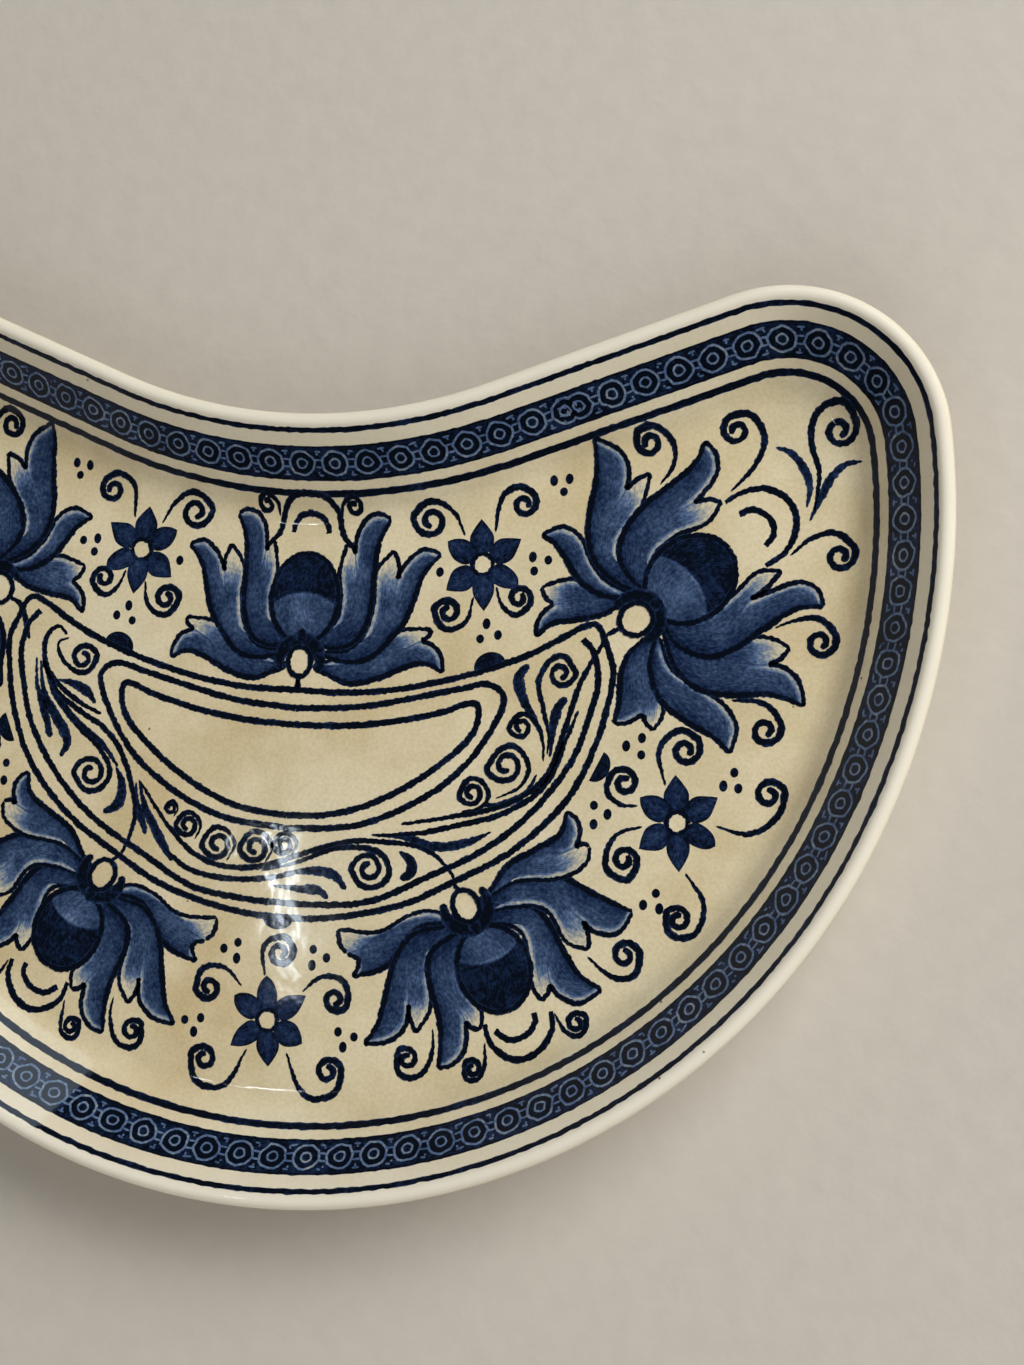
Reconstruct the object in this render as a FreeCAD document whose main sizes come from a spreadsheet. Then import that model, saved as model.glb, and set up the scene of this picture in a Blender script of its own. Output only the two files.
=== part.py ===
"""Kidney-shaped serving dish: a shallow glazed earthenware dish with two rounded horns.

The dish lies on its foot ring: +Z is up, +X runs through the two horns and +Y points from the
round belly to the hollow side between the horns. The origin is under the middle of the dish, on
the face that rests on the table. Sizes are in millimetres and degrees.
"""
import FreeCAD, Part
import os
import Sketcher
from math import cos, radians, sin

doc = FreeCAD.newDocument("kidney_dish")

# ---------------------------------------------------------------- driving dimensions
SIZES = {
    # the rim seen from above: on each half, arcs that run tangent into each other
    "belly_radius": 131.9,      # the round belly
    "belly_turn": 68.4,         # how far the belly arc turns, from the middle line
    "side_radius": 148.4,       # the flatter flank
    "side_turn": 30.85,
    "horn_radius": 32.7,        # the rounded end of a horn
    "horn_slope": 21.25,        # the straight run from a horn down to the hollow side
    "hollow_radius": 109.8,     # the hollow side, between the horns
    # the section of the wall, measured inward from the rim and up from the table
    "lip_height": 18.2,         # the middle of the rounded lip
    "lip_round": 1.5,           # half the thickness of the fired wall
    "wall_slope": 39.0,
    "cove_round": 8.3,          # where the wall turns into the flat well
    "well_height": 6.0,
    "base_height": 2.3,         # the underside of the base, inside the foot ring
    "foot_outside": 18.4,
    "foot_inside": 21.0,
    "foot_edge_round": 0.6,
    "foot_root_round": 2.5,     # where the foot ring leaves the wall
    "section_inside": 26.0,     # how far in the swept rim section reaches
    "glaze": 0.3,
    "glaze_stop": 1.0,          # below this the glaze is wiped off the foot ring
}
sheet = doc.addObject("Spreadsheet::Sheet", "Sizes")
for row, (name, number) in enumerate(SIZES.items(), start=1):
    sheet.set(f"A{row}", name)
    sheet.set(f"B{row}", str(number))
    sheet.setAlias(f"B{row}", name)
doc.recompute()

# The belly's rim is this far in front of the origin, which is midway between the rim's ends.
HALF_DEPTH = (
    "(Sizes.belly_radius - (Sizes.belly_radius - Sizes.side_radius) * cos(Sizes.belly_turn)"
    " - (Sizes.side_radius - Sizes.horn_radius) * cos(Sizes.belly_turn + Sizes.side_turn)"
    " + Sizes.horn_radius) / 2"
)


def amount(formula):
    """What a formula on the sheet comes to."""
    return float(sheet.evalExpression(formula))


# ---------------------------------------------------------------- sketch helpers
START, END, CENTRE = 1, 2, 3        # the points of an edge, as a sketch numbers them
ORIGIN, UPRIGHT_AXIS = -1, -2       # the sketch's own origin and upright axis


def new_sketch(body, name, plane):
    """A sketch on one of the body's own origin planes."""
    sketch = body.newObject("Sketcher::SketchObject", name)
    support = next(item for item in body.Origin.OriginFeatures if item.Role == plane)
    sketch.AttachmentSupport = [(support, "")]
    sketch.MapMode = "FlatFace"
    return sketch


def relate(sketch, *relation):
    return sketch.addConstraint(Sketcher.Constraint(*relation))


def drive(sketch, formula, *relation):
    """A dimension of the sketch that follows a formula on the sheet."""
    now = amount(formula)
    if relation[0] == "Angle":
        now = radians(now)
    index = relate(sketch, *relation, now)
    sketch.setExpression(f"Constraints[{index}]", formula)


def line(sketch, start, end):
    return sketch.addGeometry(Part.LineSegment(FreeCAD.Vector(*start), FreeCAD.Vector(*end)), False)


def arc(sketch, centre, radius, from_angle, to_angle):
    """An arc that runs counter-clockwise between two angles in degrees."""
    circle = Part.Circle(FreeCAD.Vector(*centre), FreeCAD.Vector(0, 0, 1), radius)
    return sketch.addGeometry(Part.ArcOfCircle(circle, radians(from_angle), radians(to_angle)), False)


def along(start, distance, angle):
    """The point at a distance from another, in the direction of an angle in degrees."""
    return (start[0] + distance * cos(radians(angle)), start[1] + distance * sin(radians(angle)), 0)


# ---------------------------------------------------------------- the dish seen from above
def half_outline(body, name, inset, closed):
    """The right half of the rim's outline, moved inward by a formula on the sheet.

    Moved inward, every arc keeps its centre: the belly, flank and horn arcs shrink, and the
    hollow side's arc grows.
    """
    sketch = new_sketch(body, name, "XY_Plane")
    belly = amount(f"Sizes.belly_radius - ({inset})")
    side = amount(f"Sizes.side_radius - ({inset})")
    horn = amount(f"Sizes.horn_radius - ({inset})")
    hollow = amount(f"Sizes.hollow_radius + ({inset})")
    slope = amount("Sizes.horn_slope")
    to_side = amount("Sizes.belly_turn - 90")
    to_horn = amount("Sizes.belly_turn + Sizes.side_turn - 90")

    front = (0, -amount(f"{HALF_DEPTH} - ({inset})"), 0)
    belly_centre = along(front, belly, 90)
    side_centre = along(belly_centre, belly - side, to_side)
    horn_centre = along(side_centre, side - horn, to_horn)
    straight_start = along(horn_centre, horn, 90 + slope)
    straight_run = (straight_start[0] - hollow * sin(radians(slope))) / cos(radians(slope))
    straight_end = along(straight_start, straight_run, 180 + slope)
    hollow_centre = along(straight_end, hollow, 90 + slope)

    belly_arc = arc(sketch, belly_centre, belly, -90, to_side)
    side_arc = arc(sketch, side_centre, side, to_side, to_horn)
    horn_arc = arc(sketch, horn_centre, horn, to_horn, 90 + slope)
    straight = line(sketch, straight_start, straight_end)
    hollow_arc = arc(sketch, hollow_centre, hollow, 270, 270 + slope)

    relate(sketch, "Tangent", belly_arc, END, side_arc, START)
    relate(sketch, "Tangent", side_arc, END, horn_arc, START)
    relate(sketch, "Tangent", horn_arc, END, straight, START)
    relate(sketch, "Tangent", straight, END, hollow_arc, END)
    for middle_arc in (belly_arc, hollow_arc):
        relate(sketch, "PointOnObject", middle_arc, CENTRE, UPRIGHT_AXIS)
        relate(sketch, "PointOnObject", middle_arc, START, UPRIGHT_AXIS)
    drive(sketch, f"Sizes.belly_radius - ({inset})", "Radius", belly_arc)
    drive(sketch, f"Sizes.side_radius - ({inset})", "Radius", side_arc)
    drive(sketch, f"Sizes.horn_radius - ({inset})", "Radius", horn_arc)
    drive(sketch, f"Sizes.hollow_radius + ({inset})", "Radius", hollow_arc)
    drive(sketch, "Sizes.belly_turn", "Angle", belly_arc)
    drive(sketch, "Sizes.side_turn", "Angle", side_arc)
    drive(sketch, "Sizes.horn_slope", "Angle", hollow_arc)
    drive(sketch, f"{HALF_DEPTH} - ({inset})", "DistanceY", belly_arc, START, ORIGIN, START)
    if closed:
        middle = line(sketch, front, along(hollow_centre, hollow, 270))
        relate(sketch, "Coincident", middle, START, belly_arc, START)
        relate(sketch, "Coincident", middle, END, hollow_arc, START)
    return sketch


# ---------------------------------------------------------------- the section through the rim
def rim_section(body, name, skin, foot_inside, foot_bottom, underside):
    """The section through lip, wall, cove, base edge and foot ring, at the front of the belly.

    skin is how far the section stands proud of the fired clay: nothing for the clay itself, the
    glaze's thickness for the glazed dish. The other three are formulas that place the inner face
    and the bottom of the foot ring, and the underside of the base.
    """
    sketch = new_sketch(body, name, "YZ_Plane")
    rim = -amount(HALF_DEPTH)
    slope = amount("Sizes.wall_slope")
    lip_round = amount(f"Sizes.lip_round + {skin}")
    cove_round = amount(f"Sizes.cove_round - {skin}")
    root_round = amount(f"Sizes.foot_root_round - {skin}")
    edge_round = amount("Sizes.foot_edge_round")
    well = amount(f"Sizes.well_height + {skin}")
    inside = rim + amount("Sizes.section_inside")
    foot_out = rim + amount(f"Sizes.foot_outside - {skin}")
    foot_in = rim + amount(foot_inside)
    bottom = amount(foot_bottom)
    under = amount(underside)

    lip_centre = (rim + amount("Sizes.lip_round + Sizes.glaze"), amount("Sizes.lip_height"), 0)
    wall_top = along(lip_centre, lip_round, 90 - slope)
    wall_foot = along(lip_centre, lip_round, 270 - slope)

    cove_centre_height = well + cove_round
    fall = wall_top[1] - cove_centre_height + cove_round * cos(radians(slope))
    wall_end = along(wall_top, fall / sin(radians(slope)), -slope)
    cove_centre = along(wall_end, cove_round, 90 - slope)

    # the root's arc touches the wall's underside and the foot ring's outer face
    root_start_y = foot_out - root_round + root_round * sin(radians(slope))
    root_start = along(wall_foot, (root_start_y - wall_foot[0]) / cos(radians(slope)), -slope)
    root_centre = along(root_start, -root_round, 90 - slope)

    lip = arc(sketch, lip_centre, lip_round, 90 - slope, 270 - slope)
    wall = line(sketch, wall_top, wall_end)
    cove = arc(sketch, cove_centre, cove_round, 270 - slope, 270)
    floor = line(sketch, (cove_centre[0], well, 0), (inside, well, 0))
    seam = line(sketch, (inside, well, 0), (inside, under, 0))
    base = line(sketch, (inside, under, 0), (foot_in, under, 0))
    inner = line(sketch, (foot_in, under, 0), (foot_in, bottom + edge_round, 0))
    inner_edge = arc(sketch, (foot_in - edge_round, bottom + edge_round, 0), edge_round, 270, 360)
    tread = line(sketch, (foot_in - edge_round, bottom, 0), (foot_out + edge_round, bottom, 0))
    outer_edge = arc(sketch, (foot_out + edge_round, bottom + edge_round, 0), edge_round, 180, 270)
    outer = line(sketch, (foot_out, bottom + edge_round, 0), (foot_out, root_centre[1], 0))
    root = arc(sketch, root_centre, root_round, 0, 90 - slope)
    under_wall = line(sketch, root_start, wall_foot)

    relate(sketch, "Tangent", lip, START, wall, START)
    relate(sketch, "Tangent", wall, END, cove, START)
    relate(sketch, "Tangent", cove, END, floor, START)
    relate(sketch, "Coincident", floor, END, seam, START)
    relate(sketch, "Coincident", seam, END, base, START)
    relate(sketch, "Coincident", base, END, inner, START)
    relate(sketch, "Tangent", inner, END, inner_edge, END)
    relate(sketch, "Tangent", inner_edge, START, tread, START)
    relate(sketch, "Tangent", tread, END, outer_edge, END)
    relate(sketch, "Tangent", outer_edge, START, outer, START)
    relate(sketch, "Tangent", outer, END, root, START)
    relate(sketch, "Tangent", root, END, under_wall, START)
    relate(sketch, "Tangent", under_wall, END, lip, END)
    relate(sketch, "Parallel", wall, under_wall)
    for level in (floor, base, tread):
        relate(sketch, "Horizontal", level)
    for upright in (seam, inner, outer):
        relate(sketch, "Vertical", upright)
    drive(sketch, f"Sizes.lip_round + {skin}", "Radius", lip)
    drive(sketch, f"Sizes.cove_round - {skin}", "Radius", cove)
    drive(sketch, f"Sizes.foot_root_round - {skin}", "Radius", root)
    drive(sketch, "Sizes.foot_edge_round", "Radius", inner_edge)
    drive(sketch, "Sizes.foot_edge_round", "Radius", outer_edge)
    drive(sketch, "-Sizes.wall_slope", "Angle", wall)
    drive(sketch, f"{HALF_DEPTH} - Sizes.lip_round - Sizes.glaze", "DistanceX", lip, CENTRE, ORIGIN, START)
    drive(sketch, "Sizes.lip_height", "DistanceY", ORIGIN, START, lip, CENTRE)
    drive(sketch, f"Sizes.well_height + {skin}", "DistanceY", ORIGIN, START, floor, END)
    drive(sketch, underside, "DistanceY", ORIGIN, START, base, END)
    drive(sketch, foot_bottom, "DistanceY", ORIGIN, START, tread, END)
    drive(sketch, f"{HALF_DEPTH} - Sizes.section_inside", "DistanceX", seam, END, ORIGIN, START)
    drive(sketch, f"{HALF_DEPTH} - ({foot_inside})", "DistanceX", inner, END, ORIGIN, START)
    drive(sketch, f"{HALF_DEPTH} - Sizes.foot_outside + {skin}", "DistanceX", outer, END, ORIGIN, START)
    return sketch


# ---------------------------------------------------------------- the solids
def mirror_halves(body, features):
    """Completes a body whose features make its right half."""
    mirrored = body.newObject("PartDesign::Mirrored", body.Name + "_halves")
    mirrored.Originals = features
    side_plane = next(item for item in body.Origin.OriginFeatures if item.Role == "YZ_Plane")
    mirrored.MirrorPlane = (side_plane, [""])
    body.Tip = mirrored


def slab(body, name, inset, bottom, top):
    """The right half of a level slab with the rim's outline, between two heights."""
    outline = half_outline(body, name + "_outline", inset, closed=True)
    outline.setExpression("AttachmentOffset.Base.z", bottom)
    pad = body.newObject("PartDesign::Pad", name)
    pad.Profile = outline
    pad.setExpression("Length", f"({top}) - ({bottom})")
    return pad


def dish_body(name, skin, foot_inside, foot_bottom, underside):
    """The whole dish: the rim section swept round the outline, and the level base inside it."""
    body = doc.addObject("PartDesign::Body", name)
    outline = half_outline(body, name + "_rim_outline", "0", closed=False)
    section = rim_section(body, name + "_section", skin, foot_inside, foot_bottom, underside)
    rim = body.newObject("PartDesign::AdditivePipe", name + "_rim")
    rim.Profile = section
    rim.Spine = (outline, [f"Edge{number}" for number in range(1, 6)])
    lap = "Sizes.section_inside - 1"        # the base laps the swept section by a millimetre
    base = slab(body, name + "_base", lap, underside, f"Sizes.well_height + {skin}")
    mirror_halves(body, [rim, base])
    return body


def biscuit_body():
    """The fired clay: one piece with its foot ring."""
    body = dish_body("biscuit_body", "0", "Sizes.foot_inside", "0", "Sizes.base_height")
    body.Label = "biscuit_body"
    return body


def glaze_coat(biscuit):
    """The glaze over the face, the lip and the outside, down to the wiped foot ring.

    It is the dish with its glaze, less the clay. The glazed form ends inside the foot ring and
    inside the base, so that nothing of it is left in the recess under the dish.
    """
    inside_foot = "(Sizes.foot_outside + Sizes.foot_inside) / 2"
    inside_base = "(Sizes.base_height + Sizes.well_height) / 2"
    glazed = dish_body("glazed_form", "Sizes.glaze", inside_foot, "Sizes.glaze_stop", inside_base)
    coat = doc.addObject("Part::Cut", "glaze_coat")
    coat.Base = glazed
    coat.Tool = biscuit
    coat.Label = "glaze_coat"
    return coat


def foot_recess_glaze():
    """The glaze inside the foot ring: over the underside of the base and down the ring."""
    body = doc.addObject("PartDesign::Body", "foot_recess_glaze")
    block = slab(body, "recess_block", "Sizes.foot_inside", "Sizes.glaze_stop", "Sizes.base_height")
    inside_glaze = "Sizes.foot_inside + Sizes.glaze"
    hollow_outline = half_outline(body, "recess_hollow_outline", inside_glaze, closed=True)
    hollow_outline.setExpression("AttachmentOffset.Base.z", "Sizes.glaze_stop")
    hollow = body.newObject("PartDesign::Pocket", "recess_hollow")
    hollow.Profile = hollow_outline
    hollow.Reversed = True
    hollow.setExpression("Length", "Sizes.base_height - Sizes.glaze - Sizes.glaze_stop")
    mirror_halves(body, [block, hollow])
    body.Label = "foot_recess_glaze"
    return body


biscuit = biscuit_body()
pieces = [biscuit, glaze_coat(biscuit), foot_recess_glaze()]
doc.recompute()

# ---------------------------------------------------------------- check and export
for item in doc.Objects:
    if "Invalid" in item.State or "Error" in item.State:
        raise RuntimeError(f"{item.Name} failed: {item.getStatusString()}")
for piece in pieces:
    shape = piece.Shape
    if shape.isNull() or not shape.isValid() or len(shape.Solids) != 1:
        raise RuntimeError(f"{piece.Label} isn't one sound solid")

os.makedirs("parts", exist_ok=True)
for piece in pieces:
    piece.Shape.exportStep(f"parts/{piece.Label}.step")
    box = piece.Shape.optimalBoundingBox(False)
    extent = f"{box.XLength:.2f} x {box.YLength:.2f} x {box.ZLength:.2f} mm"
    print(f"{piece.Label}: {piece.Shape.Volume:.0f} mm3, {extent}")
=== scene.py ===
"""Kidney-shaped serving dish: cream-glazed earthenware with a blue printed border and flowers."""
from math import atan2, ceil, cos, exp, log, pi, radians, sin, tan

import bmesh
import bpy
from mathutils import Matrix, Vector, noise
from mathutils.geometry import interpolate_bezier


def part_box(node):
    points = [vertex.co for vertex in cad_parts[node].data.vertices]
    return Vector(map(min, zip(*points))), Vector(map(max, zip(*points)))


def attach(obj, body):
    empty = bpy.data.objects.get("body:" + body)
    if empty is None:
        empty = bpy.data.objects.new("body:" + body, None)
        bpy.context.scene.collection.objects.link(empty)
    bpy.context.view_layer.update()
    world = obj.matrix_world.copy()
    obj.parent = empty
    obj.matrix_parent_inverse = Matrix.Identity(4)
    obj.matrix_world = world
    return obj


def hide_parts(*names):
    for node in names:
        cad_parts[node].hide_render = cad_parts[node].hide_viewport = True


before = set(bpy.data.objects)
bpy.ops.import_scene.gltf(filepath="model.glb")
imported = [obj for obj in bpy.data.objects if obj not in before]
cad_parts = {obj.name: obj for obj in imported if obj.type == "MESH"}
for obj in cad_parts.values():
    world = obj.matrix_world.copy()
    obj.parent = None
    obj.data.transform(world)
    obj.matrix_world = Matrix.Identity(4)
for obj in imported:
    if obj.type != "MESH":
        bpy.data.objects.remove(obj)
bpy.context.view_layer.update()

# ------------------------------------------------------------------------------------------
# Camera: held by hand 0.38 m over the right half of the dish and a little tilted, so the left
# horn is out of view.
# ------------------------------------------------------------------------------------------
camera_data = bpy.data.cameras.new("camera")
camera_data.lens = 50.1
camera_data.sensor_width = 36.0
camera_data.clip_start = 0.01
camera = bpy.data.objects.new("camera", camera_data)
camera.location = (0.1341, -0.0158, 0.3846)
camera.rotation_euler = (radians(5.44), radians(12.716), radians(4.467))
bpy.context.scene.collection.objects.link(camera)
bpy.context.scene.camera = camera
bpy.context.scene.view_settings.view_transform = "Standard"

# ------------------------------------------------------------------------------------------
# Glaze coat: the glassy cream coat over the face, the lip and the outside of the wall. It is
# one skin 0.3 mm thick, dipped and fired on, and it stops just above the foot ring's tread.
# Its outline is a chain of arcs, and its section is swept round them.
# ------------------------------------------------------------------------------------------
MM = 0.001
GLAZE = 0.3 * MM
WALL_SLOPE = radians(39.0)
LIP_ROUND = 1.8 * MM
COVE_ROUND = 8.0 * MM
ROOT_ROUND = 2.2 * MM
FOOT_INSET = 18.1 * MM
FLOOR_INSET = 26.0 * MM         # inside this the face is the level well
GLAZE_STOP = 1.1 * MM
FLOOR_CELL = 8.0 * MM
coat_low, coat_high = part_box("glaze_coat")
WELL_HEIGHT = 6.3 * MM
LIP_HEIGHT = coat_high.z - LIP_ROUND

BELLY, SIDE, HORN, HOLLOW = 131.9 * MM, 148.4 * MM, 32.7 * MM, 109.8 * MM
BELLY_TURN, SIDE_TURN, HORN_SLOPE = radians(68.4), radians(30.85), radians(21.25)
TO_SIDE = BELLY_TURN - pi / 2
TO_HORN = TO_SIDE + SIDE_TURN
TO_STRAIGHT = pi / 2 + HORN_SLOPE


def toward(start, distance, angle):
    return Vector((start.x + distance * cos(angle), start.y + distance * sin(angle)))


belly_centre = Vector((0, coat_low.y + BELLY))
side_centre = toward(belly_centre, BELLY - SIDE, TO_SIDE)
horn_centre = toward(side_centre, SIDE - HORN, TO_HORN)
straight_start = toward(horn_centre, HORN, TO_STRAIGHT)
STRAIGHT = (straight_start.x - HOLLOW * sin(HORN_SLOPE)) / cos(HORN_SLOPE)
straight_way = toward(Vector((0, 0)), 1, pi + HORN_SLOPE)
straight_inward = Vector((-straight_way.y, straight_way.x))
straight_end = straight_start + STRAIGHT * straight_way
hollow_centre = toward(straight_end, HOLLOW, TO_STRAIGHT)
round_turns = ((belly_centre, BELLY, -pi / 2, TO_SIDE), (side_centre, SIDE, TO_SIDE, TO_HORN),
               (horn_centre, HORN, TO_HORN, TO_STRAIGHT))

# where the wall's straight face starts under the lip, and where the cove takes over from it
wall_top = Vector((LIP_ROUND * (1 + sin(WALL_SLOPE)), LIP_HEIGHT + LIP_ROUND * cos(WALL_SLOPE)))
straight_drop = wall_top.y - WELL_HEIGHT - COVE_ROUND * (1 - cos(WALL_SLOPE))
cove_start = wall_top.x + straight_drop / tan(WALL_SLOPE)
cove_end = cove_start + COVE_ROUND * sin(WALL_SLOPE)


def face_height(inset):
    """The height of the glazed face at a distance in from the rim."""
    if inset < wall_top.x:
        return LIP_HEIGHT + max(LIP_ROUND ** 2 - (LIP_ROUND - inset) ** 2, 0) ** 0.5
    if inset < cove_start:
        return wall_top.y - (inset - wall_top.x) * tan(WALL_SLOPE)
    if inset < cove_end:
        return WELL_HEIGHT + COVE_ROUND - (COVE_ROUND ** 2 - (cove_end - inset) ** 2) ** 0.5
    return WELL_HEIGHT


def coat_section():
    """The glaze in section, as insets and heights, from the foot up the outside to the well."""
    tuck = Vector((LIP_ROUND * (1 - sin(WALL_SLOPE)), LIP_HEIGHT - LIP_ROUND * cos(WALL_SLOPE)))
    root_top = FOOT_INSET - ROOT_ROUND * (1 - sin(WALL_SLOPE))
    root_height = tuck.y - (root_top - tuck.x) * tan(WALL_SLOPE) - ROOT_ROUND * cos(WALL_SLOPE)
    points = [(FOOT_INSET, GLAZE_STOP)]
    for step in range(6):
        turn = step / 5 * (pi / 2 - WALL_SLOPE)
        points.append((FOOT_INSET - ROOT_ROUND * (1 - cos(turn)), root_height + ROOT_ROUND * sin(turn)))
    for step in range(1, 7):
        inset = root_top + (tuck.x - root_top) * step / 7
        points.append((inset, tuck.y - (inset - tuck.x) * tan(WALL_SLOPE)))
    for step in range(15):
        angle = 3 * pi / 2 - WALL_SLOPE - pi * step / 14
        points.append((LIP_ROUND * (1 + cos(angle)), LIP_HEIGHT + LIP_ROUND * sin(angle)))
    for step in range(1, 9):
        inset = wall_top.x + (cove_start - wall_top.x) * step / 8
        points.append((inset, face_height(inset)))
    for step in range(1, 11):
        inset = cove_end - COVE_ROUND * sin(WALL_SLOPE * (1 - step / 10))
        points.append((inset, face_height(inset)))
    return points + [(FLOOR_INSET, WELL_HEIGHT)]


def sweep_coat(bm):
    """Sweeps the section round the right half of the outline and mirrors it to the left."""
    verts = [bm.verts.new((0, coat_low.y + inset, height)) for inset, height in coat_section()]
    edge = verts + [bm.edges.new(pair) for pair in zip(verts, verts[1:])]
    for (centre, radius, first, last), steps in zip(round_turns, (110, 56, 64)):
        swept = bmesh.ops.spin(bm, geom=edge, cent=(*centre, 0), axis=(0, 0, 1),
                               angle=last - first, steps=steps)
        edge = swept["geom_last"]
    steps = 30
    for _ in range(steps):
        rim = [part for part in edge if isinstance(part, bmesh.types.BMEdge)]
        swept = bmesh.ops.extrude_edge_only(bm, edges=rim)["geom"]
        verts = [part for part in swept if isinstance(part, bmesh.types.BMVert)]
        bmesh.ops.translate(bm, verts=verts, vec=(*(straight_way * STRAIGHT / steps), 0))
        edge = verts + [part for part in swept if isinstance(part, bmesh.types.BMEdge)
                        and set(part.verts) <= set(verts)]
    bmesh.ops.spin(bm, geom=edge, cent=(*hollow_centre, 0), axis=(0, 0, 1), angle=-HORN_SLOPE, steps=36)
    bmesh.ops.mirror(bm, geom=bm.verts[:] + bm.edges[:] + bm.faces[:], axis="X", merge_dist=0.01 * MM)
    bmesh.ops.remove_doubles(bm, verts=bm.verts[:], dist=0.005 * MM)


def close_well(bm):
    """Fills the level well and cuts it into squares."""
    rim = [edge for edge in bm.edges if edge.is_boundary and edge.verts[0].co.z > WELL_HEIGHT / 2]
    well = bmesh.ops.edgeloop_fill(bm, edges=rim)["faces"]
    if well[0].normal.z < 0:
        bmesh.ops.reverse_faces(bm, faces=well)
    for normal, reach in (((1, 0, 0), coat_high.x), ((0, 1, 0), coat_high.y)):
        for cut in range(-int(reach / FLOOR_CELL), int(reach / FLOOR_CELL) + 1):
            edges = {edge for face in well for edge in face.edges}
            verts = {vert for face in well for vert in face.verts}
            place = [cut * FLOOR_CELL * part for part in normal]
            cuts = bmesh.ops.bisect_plane(bm, geom=well + list(edges) + list(verts),
                                          plane_co=place, plane_no=normal)
            well = list({part for part in cuts["geom"] + cuts["geom_cut"]
                         if isinstance(part, bmesh.types.BMFace)})


def new_piece(name, bm, material):
    """Makes a finished piece of the dish, in place, riding on the dish's one body."""
    mesh = bpy.data.meshes.new(name)
    bm.to_mesh(mesh)
    bm.free()
    mesh.materials.append(material)
    mesh.shade_smooth()
    piece = bpy.data.objects.new(name, mesh)
    bpy.context.scene.collection.objects.link(piece)
    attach(piece, "root")
    return piece


def add_node(material, kind, sockets=(), **settings):
    """Adds a shader node, sets it up and fills or links its sockets."""
    made = material.node_tree.nodes.new("ShaderNode" + kind)
    for name, value in settings.items():
        setattr(made, name, value)
    for name, value in dict(sockets).items():
        if isinstance(value, bpy.types.NodeSocket):
            material.node_tree.links.new(value, made.inputs[name])
        else:
            made.inputs[name].default_value = value
    return made


def ramp(material, factor, *stops):
    """A colour ramp through stops of (place, (red, green, blue))."""
    made = add_node(material, "ValToRGB", {"Fac": factor})
    elements = made.color_ramp.elements
    while len(elements) < len(stops):
        elements.new(0.5)
    for element, (place, colour) in zip(elements, stops):
        element.position = place
        element.color = (*colour, 1)
    return made.outputs["Color"]


def remap(material, factor, low, high, bottom=0.0, top=1.0):
    """Remaps a value from one span to another, and holds it at the ends."""
    return add_node(material, "MapRange", {"Value": factor, "From Min": low, "From Max": high,
                                           "To Min": bottom, "To Max": top}).outputs["Result"]


def mixed(material, factor, under, over, blend="MIX"):
    """Lays one colour over another."""
    sockets = {"Fac": factor, "Color1": under, "Color2": over}
    return add_node(material, "MixRGB", sockets, blend_type=blend).outputs["Color"]


def grain(material, spot, scale, detail):
    """Soft noise from 0 to 1, with scale features to the metre."""
    return add_node(material, "TexNoise", {"Vector": spot, "Scale": scale, "Detail": detail}).outputs["Fac"]


def glass_surface(material):
    """The fired glaze's own gloss: almost mirror smooth, with a slow ripple from the dipping."""
    spot = add_node(material, "TexCoord").outputs["Object"]
    swell = grain(material, spot, 70.0, 1.5)
    pores = grain(material, spot, 620.0, 0.6)
    slow = add_node(material, "Bump", {"Height": swell, "Strength": 0.5, "Distance": 0.35 * MM})
    fine = add_node(material, "Bump", {"Height": pores, "Strength": 0.25, "Distance": 0.034 * MM,
                                       "Normal": slow.outputs["Normal"]})
    gloss = remap(material, swell, 0.3, 0.7, 0.04, 0.07)
    return spot, fine.outputs["Normal"], gloss


def new_material(name):
    material = bpy.data.materials.new(name)
    material.use_nodes = True
    material.node_tree.nodes.clear()
    return material


def finish_material(material, colour, normal, gloss):
    shader = add_node(material, "BsdfPrincipled", {"Base Color": colour, "Normal": normal,
                                                   "Roughness": gloss, "IOR": 1.5})
    output = add_node(material, "OutputMaterial")
    material.node_tree.links.new(shader.outputs["BSDF"], output.inputs["Surface"])


CREAM = (0.79, 0.70, 0.49)
CREAM_THICK = (0.69, 0.57, 0.35)
CREAM_PALE = (0.80, 0.73, 0.54)
CREAM_SLOPE = (0.82, 0.78, 0.66)
# the lip's top colour: partly the glaze thinning there, partly a painted highlight
CREAM_LIP_THIN_AND_LIT = (0.88, 0.85, 0.75)
GRAIN_SHADE = (0.91, 0.895, 0.86)
STAIN_SHADE = (0.89, 0.87, 0.80)
SPECK = (0.16, 0.10, 0.05)


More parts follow.
